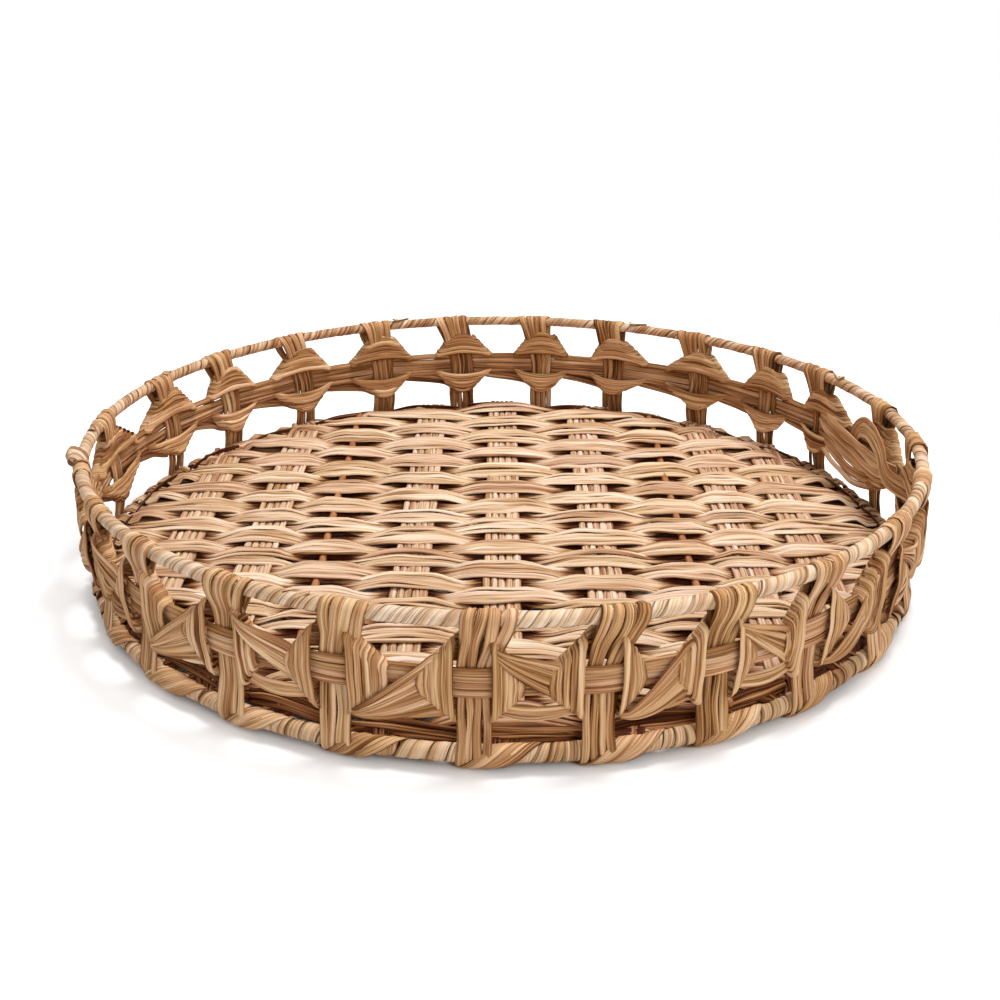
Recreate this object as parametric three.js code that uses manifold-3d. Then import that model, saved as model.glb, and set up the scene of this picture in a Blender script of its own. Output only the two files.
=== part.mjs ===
// A low, round, open tray basket of flat dried-leaf bundles worked over two round hoops.
// Millimetres, +Z up. The origin is on the table, under the middle of the basket.
// Angles round the basket start at the front (-Y) and grow towards the right (+X).

import * as THREE from "three";
import { mergeVertices } from "three/addons/utils/BufferGeometryUtils.js";
import Module from "manifold-3d";

// Overall sizes
const rimRadius = 200; // middle of the rim hoop
const baseRadius = 196; // middle of the base hoop
const hoopSpacing = 60.4; // height from the base hoop to the rim hoop, middle to middle
const clearance = 0.3; // gap between touching pieces
const hookClearance = 0.5; // gap between a post's hook and the bent hoop inside it

// Hoops and their wrapping strips
const rimRodRadius = 2.0;
const rimWrapThickness = 0.7;
const rimWrapWidth = 14;
const rimWrapTurns = 36;
const baseRodRadius = 2.6;
const baseWrapThickness = 0.9;
const baseWrapWidth = 16;
const baseWrapTurns = 26;
const wrapEndGap = 2; // bare stretch between the two ends of a wrapping strip
const wrapSides = 6; // straight sides of one turn of a wrapping strip
const rodSides = 6;
const ringSteps = 96;

// Posts
// Where each post stands, in degrees. They are set by hand, and so a little unevenly.
const postDegrees = [
  -3, 10.7, 24.3, 38, 54, 70, 84, 99.5, 116.9, 129.4, 143.7, 160,
  173, 187.2, 201.5, 216.8, 232, 246, 264.5, 283, 298, 311.5, 327.2, 341.4,
];
const postCount = postDegrees.length;
const postThickness = 1.2;
const postWidthAtRim = 16;
const postWidthAtBand = 12;
const postWidthAtBase = 13;
const hookSides = 8; // straight sides of the full turn that a post's hook is part of
const rimHookLeg = 6.5; // how far the rim hook's inner leg comes down
const baseHookLeg = 2.5; // how far the base hook's inner leg goes up
const hookRun = 12; // height in which a post swings from a hoop's outside to the wall's middle

// Mid band
const bandShare = 0.56; // share of the way up from the base hoop to the rim hoop
const bandHeight = 12;
const bandThickness = 1.4;
const bandSteps = 72;

// Lacing: bundles folded round the crossings of posts and band
const laceThickness = 1.4;
const laceBelowRim = 8.5; // from the middle of the rim hoop down to the tallest fold
const laceAboveBase = 16; // from the middle of the base hoop up to the deepest fold
const laceApart = 14.5; // gap between the folds of neighbouring crossings
const laceBulge = 1.2; // how far the upright parts swell outwards
const crossingsPerLace = 2;
const slantWidth = 8;
const slantThickness = 1.1;
const slantLift = 7; // height of a slant's start above the band's middle

// Floor
const floorInset = 1; // from the middle of the base hoop in to the rim of the floor
const warpWidth = 16;
const warpThickness = 1.0;
const warpPlaces = [-0.805, -0.605, -0.22, 0, 0.246, 0.605, 0.77]; // shares of the floor's radius
const stickRadius = 1.8;
const stickPlaces = [-0.446, 0.4615];
const weftCount = 10;
const weftWidth = 11;
const weftThickness = 1.2;
const rowGap = 2; // gap between neighbouring rows of weft

// Heights, radii and distances that follow from the sizes above
const rimWrapInner = (rimRodRadius + clearance) / Math.cos(Math.PI / wrapSides);
const rimWrapOuter = rimWrapInner + rimWrapThickness;
const baseWrapInner = (baseRodRadius + clearance) / Math.cos(Math.PI / wrapSides);
const baseWrapOuter = baseWrapInner + baseWrapThickness;
const rimHookRadius = rimWrapOuter + hookClearance + postThickness / 2;
const baseHookRadius = baseWrapOuter + hookClearance + postThickness / 2;
const baseHeight = baseHookRadius + postThickness / 2;
const rimHeight = baseHeight + hoopSpacing;
const bandMiddle = baseHeight + bandShare * hoopSpacing;
const bandOut = postThickness / 2 + 2 * clearance + bandThickness / 2;
const laceIn = -(postThickness / 2 + clearance + laceThickness / 2);
const laceOut = bandOut + bandThickness / 2 + clearance + laceThickness / 2;
const laceLow = bandHeight / 2 + clearance + laceThickness / 2;
const laceTall = rimHeight - laceBelowRim - bandMiddle;
const laceDeep = bandMiddle - baseHeight - laceAboveBase;
const laceNear = postWidth(bandMiddle + laceTall) / 2 + clearance + laceThickness / 2;

// The floor's places that follow from the sizes above
const floorRadius = baseRadius - floorInset;
const warpsAt = warpPlaces.map((share) => share * floorRadius);
const sticksAt = stickPlaces.map((share) => share * floorRadius);
const crossed = [...warpsAt, ...sticksAt].sort((a, b) => a - b);
const leastSpacing = Math.min(...crossed.slice(1).map((place, i) => place - crossed[i]));
const weftRise = (warpThickness + weftThickness + clearance) / 2; // least rise of a weft at a warp's edge
const overWarp = weftRise / (1 - warpWidth / leastSpacing);
const overStick = stickRadius + clearance + weftThickness / 2;
const weftSwing = Math.max(overWarp, overStick); // height of a weft's middle above a warp's middle
const floorLow = baseHeight + baseWrapOuter + clearance + weftThickness / 2;
const floorMiddle = floorLow + weftSwing;
const rowPitch = weftWidth + rowGap;
const rowCount = 2 * Math.floor((floorRadius - weftWidth) / rowPitch) + 1;

// Each bundle's look: a dry leaf colour, matt
const leaf = (color, roughness) =>
  new THREE.MeshStandardMaterial({ color, roughness, metalness: 0 });
const materials = {
  rod: leaf(0x8a6038, 0.7),
  wrap: leaf(0xc79d6d, 0.6),
  baseWrap: leaf(0xbe9362, 0.65),
  post: leaf(0xb98d5e, 0.6),
  band: leaf(0xb58757, 0.6),
  lace: leaf(0xb08354, 0.6),
  warp: leaf(0xb98c66, 0.65),
  stick: leaf(0xa5632f, 0.6),
  weft: leaf(0xd6ae7e, 0.6),
};

const basket = new THREE.Group();

function addPiece(name, geometry, material) {
  const mesh = new THREE.Mesh(geometry, material);
  mesh.name = name;
  basket.add(mesh);
  return mesh;
}

const twoDigits = (number) => String(number).padStart(2, "0");

// A closed solid through a list of outlines with equal numbers of points.
// A round one joins its last outline to its first.
function loft(outlines, round = false) {
  const sides = outlines[0].length;
  const count = outlines.length;
  const index = [];
  const spans = round ? count : count - 1;
  for (let i = 0; i < spans; i++) {
    for (let k = 0; k < sides; k++) {
      const a = i * sides + k;
      const b = i * sides + ((k + 1) % sides);
      const c = ((i + 1) % count) * sides + ((k + 1) % sides);
      const d = ((i + 1) % count) * sides + k;
      index.push(a, b, c, a, c, d);
    }
  }
  if (!round) {
    const last = (count - 1) * sides;
    for (let k = 1; k < sides - 1; k++) {
      index.push(0, k + 1, k);
      index.push(last, last + k, last + k + 1);
    }
  }
  const geometry = new THREE.BufferGeometry().setFromPoints(outlines.flat());
  geometry.setIndex(enclosedVolume(outlines.flat(), index) < 0 ? index.reverse() : index);
  geometry.computeVertexNormals();
  return geometry;
}

function enclosedVolume(points, index) {
  const cross = new THREE.Vector3();
  let volume = 0;
  for (let i = 0; i < index.length; i += 3) {
    cross.crossVectors(points[index[i + 1]], points[index[i + 2]]);
    volume += points[index[i]].dot(cross) / 6;
  }
  return volume;
}

// The four corners of a flat bundle's cut face
function cutFace(middle, across, out, width, thickness) {
  const side = across.clone().multiplyScalar(width / 2);
  const face = out.clone().multiplyScalar(thickness / 2);
  return [
    middle.clone().sub(side).sub(face),
    middle.clone().add(side).sub(face),
    middle.clone().add(side).add(face),
    middle.clone().sub(side).add(face),
  ];
}

const outward = (angle) => new THREE.Vector3(Math.sin(angle), -Math.cos(angle), 0);
const sideways = (angle) => new THREE.Vector3(Math.cos(angle), Math.sin(angle), 0);

// The angle of a crossing of a post and the band. Crossings are counted on past the last one.
function crossingAngle(crossing) {
  const laps = Math.floor(crossing / postCount);
  return THREE.MathUtils.degToRad(postDegrees[crossing - laps * postCount] + 360 * laps);
}

// Distance along the band from a crossing to the next
function spacingAfter(crossing) {
  return (crossingAngle(crossing + 1) - crossingAngle(crossing)) * wallRadius(bandMiddle);
}

// How far the folds at both ends of the gap after a crossing reach into it
const reachAfter = (crossing) => (spacingAfter(crossing) - laceApart) / 2;

// Radius of the wall's middle at a height
function wallRadius(height) {
  return baseRadius + ((rimRadius - baseRadius) * (height - baseHeight)) / hoopSpacing;
}

// A point on the wall: an angle, a distance along the wall, a rise above the band's middle
// and a distance outwards from the wall's middle
function onWall(angle, along, rise, out) {
  const middle = wallRadius(bandMiddle + rise);
  return outward(angle + along / middle)
    .multiplyScalar(middle + out)
    .setZ(bandMiddle + rise);
}

// Rods bent into rings
function hoop(radius, height, rodRadius) {
  const ring = new THREE.TorusGeometry(radius, rodRadius, rodSides, ringSteps);
  return ring.translate(0, 0, height);
}

// One strip wound round a hoop, from end to end of the ring
function woundStrip(radius, height, inner, thickness, width, turns) {
  const middle = inner + thickness / 2;
  const steps = turns * wrapSides;
  const sweep = 2 * Math.PI - (width + wrapEndGap) / radius;
  const outlines = [];
  for (let step = 0; step <= steps; step++) {
    const turn = (2 * Math.PI * step) / wrapSides;
    const angle = (sweep * step) / steps;
    const out = outward(angle).multiplyScalar(Math.cos(turn)).setZ(Math.sin(turn));
    const point = outward(angle).multiplyScalar(radius).setZ(height).addScaledVector(out, middle);
    outlines.push(cutFace(point, sideways(angle), out, width, thickness));
  }
  return loft(outlines);
}

// The middle line of a post in the plane through the basket's axis: x is the radius and y is the height
function postLine() {
  const rim = (turn) => hookPoint(rimRadius, rimHeight, rimHookRadius, turn);
  const base = (turn) => hookPoint(baseRadius, baseHeight, baseHookRadius, turn);
  const step = 360 / hookSides;
  const half = step / 2;
  const bendTop = rimHeight - hookRun;
  const bendBottom = baseHeight + hookRun;
  return [
    new THREE.Vector2(rimRadius - rimHookRadius, rimHeight - rimHookLeg),
    rim(half + 3 * step),
    rim(half + 2 * step),
    rim(half + step),
    rim(half),
    rim(-half),
    new THREE.Vector2(wallRadius(bendTop), bendTop),
    new THREE.Vector2(wallRadius(bendBottom), bendBottom),
    base(half),
    base(-half),
    base(-half - step),
    base(-half - 2 * step),
    base(-half - 3 * step).add(new THREE.Vector2(0, baseHookLeg)),
  ];
}

// A corner of a hook round a hoop, at an angle above the outward direction
function hookPoint(radius, height, hookRadius, degrees) {
  const turn = THREE.MathUtils.degToRad(degrees);
  const reach = hookRadius / Math.cos(Math.PI / hookSides);
  return new THREE.Vector2(radius + reach * Math.cos(turn), height + reach * Math.sin(turn));
}

function postWidth(height) {
  const { lerp } = THREE.MathUtils;
  if (height > bandMiddle) {
    const share = Math.min(1, (height - bandMiddle) / (rimHeight - bandMiddle));
    return lerp(postWidthAtBand, postWidthAtRim, share);
  }
  const share = Math.max(0, (height - baseHeight) / (bandMiddle - baseHeight));
  return lerp(postWidthAtBase, postWidthAtBand, share);
}

// A bundle that hooks over the rim hoop, runs down the wall and goes round the base hoop
function post(angle) {
  const line = postLine();
  const runs = line.slice(1).map((place, i) => place.clone().sub(line[i]).normalize());
  const outlines = line.map((place, i) => {
    const arriving = runs[Math.max(i - 1, 0)];
    const leaving = runs[Math.min(i, runs.length - 1)];
    const run = arriving.clone().add(leaving).normalize();
    const mitred = postThickness / run.dot(leaving);
    const middle = outward(angle).multiplyScalar(place.x).setZ(place.y);
    const out = outward(angle).multiplyScalar(run.y).setZ(-run.x);
    return cutFace(middle, sideways(angle), out, postWidth(place.y), mitred);
  });
  return loft(outlines);
}

// A flat ring that runs round the wall outside the posts, and leans as the wall does
function midBand() {
  const corner = (rise, out) => {
    const height = bandMiddle + (rise * bandHeight) / 2;
    return new THREE.Vector2(wallRadius(height) + bandOut + (out * bandThickness) / 2, height);
  };
  const profile = [corner(-1, -1), corner(-1, 1), corner(1, 1), corner(1, -1), corner(-1, -1)];
  return new THREE.LatheGeometry(profile, bandSteps).rotateX(Math.PI / 2);
}

// A bundle folded round one crossing. Its flat parts pass inside the post, above and below the band,
// and its upright parts pass outside the band. At each corner it folds over on a slanting edge, where
// the strip nearest to the band reaches furthest sideways.
function crossingFold(crossing) {
  const angle = crossingAngle(crossing);
  const half = laceThickness / 2;
  const reachTo = (side) => reachAfter(side < 0 ? crossing - 1 : crossing);
  const edge = (along, rise, out, lean) => [
    onWall(angle, along - lean.x * half, rise - lean.y * half, out - lean.z * half),
    onWall(angle, along + lean.x * half, rise + lean.y * half, out + lean.z * half),
  ];
  const station = (side, level, out, lean) => {
    const tip = level > 0 ? laceTall : laceDeep;
    const near = edge(side * reachTo(side), level * laceLow, out, lean);
    const far = edge(side * laceNear, level * tip, out, lean);
    return [near[0], far[0], far[1], near[1]];
  };
  const flat = (level) => station(0, level, laceIn, new THREE.Vector3(0, 0, -1));
  const upright = (side) => station(side, 0, laceOut + laceBulge, new THREE.Vector3(0, 0, 1));
  const corner = (side, level) => {
    const tip = level > 0 ? laceTall : laceDeep;
    const lean = new THREE.Vector2((tip - laceLow) * side, (reachTo(side) - laceNear) * level);
    lean.setLength(Math.SQRT1_2);
    const inside = new THREE.Vector3(lean.x, lean.y, -Math.SQRT1_2);
    const outside = new THREE.Vector3(lean.x, lean.y, Math.SQRT1_2);
    return [station(side, level, laceIn, inside), station(side, level, laceOut, outside)];
  };
  const outlines = [
    flat(1),
    ...corner(1, 1),
    upright(1),
    ...corner(1, -1).reverse(),
    flat(-1),
    ...corner(-1, -1),
    upright(-1),
    ...corner(-1, 1).reverse(),
  ];
  return loft(outlines, true);
}

// The slanting stretch from one crossing towards the next.
// It ends inside the next crossing's fold, or just short of it.
function slant(crossing, tilt, joinsNext) {
  const angle = crossingAngle(crossing);
  const spacing = spacingAfter(crossing);
  const reach = reachAfter(crossing);
  const from = (reach + laceNear) / 2;
  const short = reach + laceThickness + clearance;
  const to = spacing - (joinsNext ? from : short);
  const level = laceOut + laceBulge;
  const lifted = level + laceThickness / 2;
  const rise = (along) => tilt * slantLift * (1 - (2 * along) / spacing);
  const places = [
    [from, lifted],
    [reach + laceThickness / 2, lifted],
    [to, joinsNext ? level : laceOut],
  ];
  const outlines = places.map(([along, out]) => {
    const middle = onWall(angle, along, rise(along), out);
    const there = outward(angle + along / wallRadius(bandMiddle));
    const run = onWall(angle, along + 1, rise(along + 1), out).sub(middle);
    const across = there.clone().cross(run).normalize();
    return cutFace(middle, across, there, slantWidth, slantThickness);
  });
  return loft(outlines);
}

const wasm = await Module();
wasm.setup();

// A closed mesh as a solid that can be joined, and back
function toSolid(geometry) {
  const bare = geometry.clone();
  bare.deleteAttribute("normal");
  bare.deleteAttribute("uv");
  const merged = mergeVertices(bare, 1e-4);
  const vertProperties = new Float32Array(merged.getAttribute("position").array);
  const triVerts = new Uint32Array(merged.getIndex().array);
  return new wasm.Manifold(new wasm.Mesh({ numProp: 3, vertProperties, triVerts }));
}

function fromSolid(solid) {
  const mesh = solid.getMesh();
  const geometry = new THREE.BufferGeometry();
  geometry.setAttribute("position", new THREE.BufferAttribute(mesh.vertProperties, mesh.numProp));
  geometry.setIndex(new THREE.BufferAttribute(mesh.triVerts, 1));
  geometry.computeVertexNormals();
  return geometry;
}

// One bundle that ties neighbouring crossings, with the slants that lead on from each
function lace(firstCrossing, lastCrossing) {
  let solid = null;
  for (let crossing = firstCrossing; crossing <= lastCrossing; crossing++) {
    const tilt = crossing % 2 ? -1 : 1;
    const joinsNext = crossing < lastCrossing;
    const tied = toSolid(crossingFold(crossing)).add(toSolid(slant(crossing, tilt, joinsNext)));
    solid = solid ? solid.add(tied) : tied;
  }
  return fromSolid(solid);
}

// Half the length of a floor bundle whose middle line is a given distance from the basket's middle
function halfChord(distance, halfWidth) {
  return Math.sqrt(floorRadius ** 2 - (Math.abs(distance) + halfWidth) ** 2);
}

function floorWarp(place) {
  const length = 2 * halfChord(place, warpWidth / 2);
  return new THREE.BoxGeometry(warpWidth, length, warpThickness).translate(place, 0, floorMiddle);
}

function floorStick(place) {
  const length = 2 * halfChord(place, stickRadius);
  const rod = new THREE.CylinderGeometry(stickRadius, stickRadius, length, rodSides);
  return rod.translate(place, 0, floorMiddle);
}

const rowPlace = (row) => (row - (rowCount - 1) / 2) * rowPitch;

// Least distance from a row's low end to a warp that it passes over
const overRoom = (weftSwing * warpWidth) / (weftSwing - weftRise);

// How far a turn between two rows stands in from the floor's rim
const turnReach = rowPitch / 2 + weftWidth / 2;

// Where one row of weft ends: at the floor's rim, or where it turns back beside its neighbour
function rowEnd(row, neighbour) {
  const own = halfChord(rowPlace(row), weftWidth / 2);
  if (neighbour === null) {
    return own;
  }
  return Math.min(own, halfChord(rowPlace(neighbour), weftWidth / 2)) - turnReach;
}

// The middle line of one row, left to right: over one warp and under the next, and low at both ends
function rowLine(row, leftNeighbour, rightNeighbour) {
  const left = -rowEnd(row, leftNeighbour);
  const right = rowEnd(row, rightNeighbour);
  const depth = rowPlace(row);
  const line = [new THREE.Vector3(left, depth, floorLow)];
  crossed.forEach((place, column) => {
    const room = Math.min(place - left, right - place);
    const over = (row + column) % 2 === 0 && room > overRoom;
    if (room > 0) {
      line.push(new THREE.Vector3(place, depth, over ? floorMiddle + weftSwing : floorLow));
    }
  });
  line.push(new THREE.Vector3(right, depth, floorLow));
  return line;
}

// The half turn between two rows, at the left or right end
function turnLine(start, end, side) {
  const middle = start.clone().add(end).divideScalar(2);
  const radius = rowPitch / 2;
  return [-45, 0, 45].map((degrees) => {
    const turn = THREE.MathUtils.degToRad(degrees);
    return middle.clone().add(new THREE.Vector3(side * radius * Math.cos(turn), radius * Math.sin(turn), 0));
  });
}

// A bundle that crosses the floor, turns at the rim and comes back, row after row
function floorWeft(firstRow, lastRow) {
  let line = [];
  for (let row = firstRow; row <= lastRow; row++) {
    const goesRight = (row - firstRow) % 2 === 0;
    const before = row > firstRow ? row - 1 : null;
    const after = row < lastRow ? row + 1 : null;
    const points = goesRight ? rowLine(row, before, after) : rowLine(row, after, before).reverse();
    if (line.length) {
      line = line.concat(turnLine(line[line.length - 1], points[0], goesRight ? -1 : 1));
    }
    line = line.concat(points);
  }
  const up = new THREE.Vector3(0, 0, 1);
  const outlines = line.map((point, i) => {
    const run = line[Math.min(i + 1, line.length - 1)].clone().sub(line[Math.max(i - 1, 0)]);
    const across = up.clone().cross(run).normalize();
    return cutFace(point, across, up, weftWidth, weftThickness);
  });
  return loft(outlines);
}

// The assembly
addPiece("rim_hoop", hoop(rimRadius, rimHeight, rimRodRadius), materials.rod);
addPiece(
  "rim_wrap",
  woundStrip(rimRadius, rimHeight, rimWrapInner, rimWrapThickness, rimWrapWidth, rimWrapTurns),
  materials.wrap,
);
addPiece("base_hoop", hoop(baseRadius, baseHeight, baseRodRadius), materials.rod);
addPiece(
  "base_wrap",
  woundStrip(baseRadius, baseHeight, baseWrapInner, baseWrapThickness, baseWrapWidth, baseWrapTurns),
  materials.baseWrap,
);
for (let i = 0; i < postCount; i++) {
  addPiece("post_" + twoDigits(i + 1), post(crossingAngle(i)), materials.post);
}
addPiece("mid_band", midBand(), materials.band);
for (let i = 0; i < postCount / crossingsPerLace; i++) {
  const firstCrossing = i * crossingsPerLace;
  const lastCrossing = Math.min(firstCrossing + crossingsPerLace, postCount) - 1;
  addPiece("lacing_" + twoDigits(i + 1), lace(firstCrossing, lastCrossing), materials.lace);
}
warpsAt.forEach((place, i) => addPiece("floor_warp_" + (i + 1), floorWarp(place), materials.warp));
sticksAt.forEach((place, i) => addPiece("floor_stick_" + (i + 1), floorStick(place), materials.stick));
for (let i = 0; i < weftCount; i++) {
  const firstRow = Math.floor((i * rowCount) / weftCount);
  const lastRow = Math.floor(((i + 1) * rowCount) / weftCount) - 1;
  addPiece("floor_weft_" + twoDigits(i + 1), floorWeft(firstRow, lastRow), materials.weft);
}

export default basket;
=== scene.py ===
"""The looks of a low round tray basket woven from flat dried-leaf strips.

Lengths are in millimetres until a mesh is made. Angles start at the front and grow to the right.
Each strip is a thin solid of its own, and a bundle is a few strips side by side.
"""

import math

import bpy
import numpy as np
from mathutils import Matrix, Vector


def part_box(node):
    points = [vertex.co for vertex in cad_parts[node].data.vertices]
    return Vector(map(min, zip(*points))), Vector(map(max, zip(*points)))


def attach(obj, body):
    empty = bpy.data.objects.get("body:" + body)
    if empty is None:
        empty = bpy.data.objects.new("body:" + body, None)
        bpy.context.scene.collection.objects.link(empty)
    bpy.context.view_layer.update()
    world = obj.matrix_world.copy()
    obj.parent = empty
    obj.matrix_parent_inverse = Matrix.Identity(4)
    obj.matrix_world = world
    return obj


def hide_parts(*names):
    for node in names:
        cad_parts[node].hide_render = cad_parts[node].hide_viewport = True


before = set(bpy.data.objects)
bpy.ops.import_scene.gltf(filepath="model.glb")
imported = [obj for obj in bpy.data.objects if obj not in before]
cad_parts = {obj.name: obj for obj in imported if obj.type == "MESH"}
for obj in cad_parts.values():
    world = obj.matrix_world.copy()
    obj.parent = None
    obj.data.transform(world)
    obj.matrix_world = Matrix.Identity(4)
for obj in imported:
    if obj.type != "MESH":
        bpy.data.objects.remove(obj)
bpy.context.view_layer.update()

MM = 0.001
PI = math.pi
UP = np.array([0, 0, 1.0])

# The hoops, the wall between them, its band and its posts, as in the CAD
RIM_RADIUS = 200.0
BASE_RADIUS = 196.0
HOOP_SPACING = 60.4
BASE_HEIGHT = 5.949
RIM_HEIGHT = BASE_HEIGHT + HOOP_SPACING
WRAP_MIDDLE = BASE_HEIGHT + 0.6
BAND_MIDDLE = BASE_HEIGHT + 0.56 * HOOP_SPACING
POSTS = 24
RIM_TURNS = 236
BASE_TURNS = 190

# The knots: half their inner width, the space between two of them, how far from the band they
# reach at the inside and at the top and bottom, and how far sideways they reach at least
LACE_NEAR = 8.4
LACE_APART = 14.5
LACE_LOW = 7.0
LACE_TALL = 18.1
LACE_DEEP = 17.8
LACE_THICK = 1.15
LEAST_REACH = 12.5
KNOT_STRIPS = 5
# A fold lower than this has one station fewer
SHORT_FOLD = 10

# The floor: its height, the wefts' swing about it, and the warps and sticks that they cross
FLOOR_MIDDLE = 14.02
WEFT_SWING = 2.1
FLOOR_RADIUS = 195.0
WARPS = [share * FLOOR_RADIUS for share in (-0.805, -0.605, -0.22, 0.0, 0.246, 0.605, 0.77)]
STICKS = [share * FLOOR_RADIUS for share in (-0.446, 0.4615)]
CROSSED = sorted(WARPS + STICKS)
ROWS = 29
ROW_PITCH = 13.0
WEFT_NODES = 10
# A row's width half way between its crossings, how much wider it is above and below a warp, its
# width at its ends and how much less that is in the far half, and the length of such an end
ROW_WIDTH = 12.8
WIDER_ABOVE = 4.4
WIDER_BELOW = 8.6
END_WIDTH = 13.0
FAR_NARROWER = 4.2
END_LENGTH = 34.0
STICK_RADIUS = 1.8

# The floor's bundles meet the base hoop at this radius, and lie flat up to this distance from there
MEETING_RADIUS = BASE_RADIUS - 5.5
FLAT_UP_TO = 5.0
# They get darker from this radius on, over this distance, as painted shade of the wall
WALL_SHADE_FROM = 178
WALL_SHADE_LENGTH = 12
# Their ends go from under the hoop's wrap, in front, to over it, behind, between these depths
FAR_HALF = [-95.0, -55.0]
# The ends' stations: the turn about the hoop, and the distance from its middle in front and behind
HOOP_ENDS = [(125, 4.2, 7.0), (103, 3.4, 7.3), (80, 2.5, 6.5), (55, 2.0, 5.3), (30, 2.0, 4.3),
             (5, 2.0, 3.2)]
# From here outwards, as seen from the base hoop's middle, the floor's points are drawn in. They
# may be this far from that middle at first, and then less
TUCK_FROM = -9.0
TUCK_REACH = 14.0
# The lower strips of a row's end: how far before its end, height, and width
LOWER_LAYER = [(46, 11.2, 9), (34, 10.4, 13.5), (18, 10.0, 14), (4, 9.8, 14), (-5, 9.4, 13)]

# Posts: the turn about the rim hoop and the width there, and the turn about the base hoop and the
# distance from its middle
POST_HOOK = [(180, 16.0), (150, 17.0), (120, 18.0), (90, 18.7), (60, 19.2), (30, 19.4), (0, 19.2)]
POST_FOOT = [(0, 4.0), (-30, 4.0), (-60, 4.05), (-90, 4.15), (-120, 4.3), (-150, 4.5), (-185, 4.6)]
POST_FOOT_WIDTH = 13.6

# Fans: strips, rise of the first and last at the near knot, the same at the far one, and width
FRONT_FANS = [(4, (15.2, 11.6), (5.0, -8.0), 4.3), (6, (-15.0, -17.0), (11.0, -10.5), 4.6)]
BACK_FAN = (6, (-5.0, -16.0), (0.5, -7.0), 3.4)
# The share of the way to the far knot, and how far outside the wall
FAN_WAY = [(0.0, 4.9), (0.12, 6.3), (0.3, 6.5), (0.55, 5.4), (0.8, 3.7), (1.0, 3.0)]

# Bundles across a gap, outside and inside the wall: the share of the way, and how far out
LOW_WAY = [(0.0, 1.2), (0.12, 2.0), (0.35, 3.4), (0.65, 3.3), (0.88, 2.0), (1.0, 1.2)]
GROUND_WAY = [(0.0, -4.4), (0.2, -4.2), (0.5, -3.8), (0.8, -4.0), (1.0, -4.4)]

# Loose bundles inside the wall, on the right: width, then share of the gap, rise and out
LOOSE_CROSSING = 7
LOOSE = [
    (11.5, [(0.98, -7.5, -0.4), (0.88, -7.8, -2.2), (0.74, -8.8, -4.2), (0.51, -11.6, -5.2),
            (0.26, -12.6, -5.6), (0.1, -12.0, -4.6), (-0.02, -10.8, -2.6), (-0.12, -9.5, -0.6)]),
    (13.5, [(1.02, 3.6, 0.6), (0.93, 3.4, -1.4), (0.82, 2.8, -3.4), (0.66, 1.8, -5.0),
            (0.46, 0.6, -6.0), (0.23, -0.1, -6.6), (0.06, -0.8, -6.4), (-0.12, -1.0, -6.0),
            (-0.3, 0.4, -5.4), (-0.46, 2.8, -4.4), (-0.58, 4.6, -3.0)]),
    (11.0, [(0.42, 0.5, -2.4), (0.39, 5.0, -2.9), (0.32, 10.2, -3.8), (0.17, 14.6, -5.6),
            (0.0, 15.6, -7.0), (-0.22, 14.8, -8.2), (-0.4, 12.0, -8.8), (-0.5, 7.6, -8.6),
            (-0.62, 4.4, -7.4), (-0.72, 3.8, -5.2), (-0.83, 3.6, -2.4), (-0.92, 3.4, -0.2)]),
]

# Strips over the base hoop beside a post: turns about the hoop, places along it, how much of a
# strip's lag they take, and distances from its middle
FOOT_TURNS = np.array([150, 120, 90, 60, 30, 0, -30, -60, -85, -110.0, -140])
FOOT_ALONG = np.array([15.5, 13.5, 11.0, 8.3, 5.7, 2.9, 0.1, -2.5, -4.9, -7.1, -9.5])
FOOT_LAG = np.array([1, 1, 1, 1, 0.95, 0.85, 0.72, 0.6, 0.5, 0.45, 0.4])
FOOT_REACH = np.array([4.2, 4.3, 4.4, 4.5, 4.6, 4.75, 4.85, 4.9, 4.9, 4.9, 4.8])
# The crossing where they are more and wider
WIDE_FOOT = 21

# Short leaf ends that stand off the rim: the angle in degrees, and the side to which they lean
RIM_LEAVES = [(198.7, 1), (156.4, 1), (113.5, -1), (246.0, 1), (272.0, 1), (40.0, -1), (-22.0, 1)]
LIFTED_TURN = 282.0

# The first seed of each kind of piece
SEEDS = {"rim": 101, "base": 102, "band": 103, "post": 200, "lacing": 300, "warp": 400,
         "stick": 450, "weft": 500, "lower": 900}


def random_for(kind, index=0):
    """Random numbers that are the same in each run, for one piece of a kind."""
    return np.random.default_rng(SEEDS[kind] + index)


def wall_radius(height):
    """Radius of the wall's middle at a height."""
    return BASE_RADIUS + (RIM_RADIUS - BASE_RADIUS) * (height - BASE_HEIGHT) / HOOP_SPACING


BAND_RADIUS = wall_radius(BAND_MIDDLE)


def post_places():
    """The angle of each post, out of the frame."""
    places = []
    for index in range(POSTS):
        low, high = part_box("post_%02d" % (index + 1))
        places.append(math.atan2(low[0] + high[0], -low[1] - high[1]))
    return np.unwrap(places)


PLACES = post_places()


def crossing_angle(crossing):
    """Crossings of posts and band are counted on past the last one."""
    laps, index = divmod(crossing, POSTS)
    return PLACES[index] + 2 * PI * laps


def gap_after(crossing):
    """Distance along the band from a crossing to the next."""
    return (crossing_angle(crossing + 1) - crossing_angle(crossing)) * BAND_RADIUS


def reach_after(crossing):
    """How far the folds at both ends of the gap after a crossing reach into it."""
    return (gap_after(crossing) - LACE_APART) / 2


def is_front(crossing):
    """Whether the gap after a crossing is one of the front half, as the photo shows it."""
    return math.cos((crossing_angle(crossing) + crossing_angle(crossing + 1)) / 2) > 0.1


def blend(first, last, share):
    """The value at a share of the way from the first to the last."""
    return first + (last - first) * share


def by_half(depth, near, far):
    """A value that differs between the floor's near and far halves."""
    return np.interp(depth, FAR_HALF, [near, far])


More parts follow.
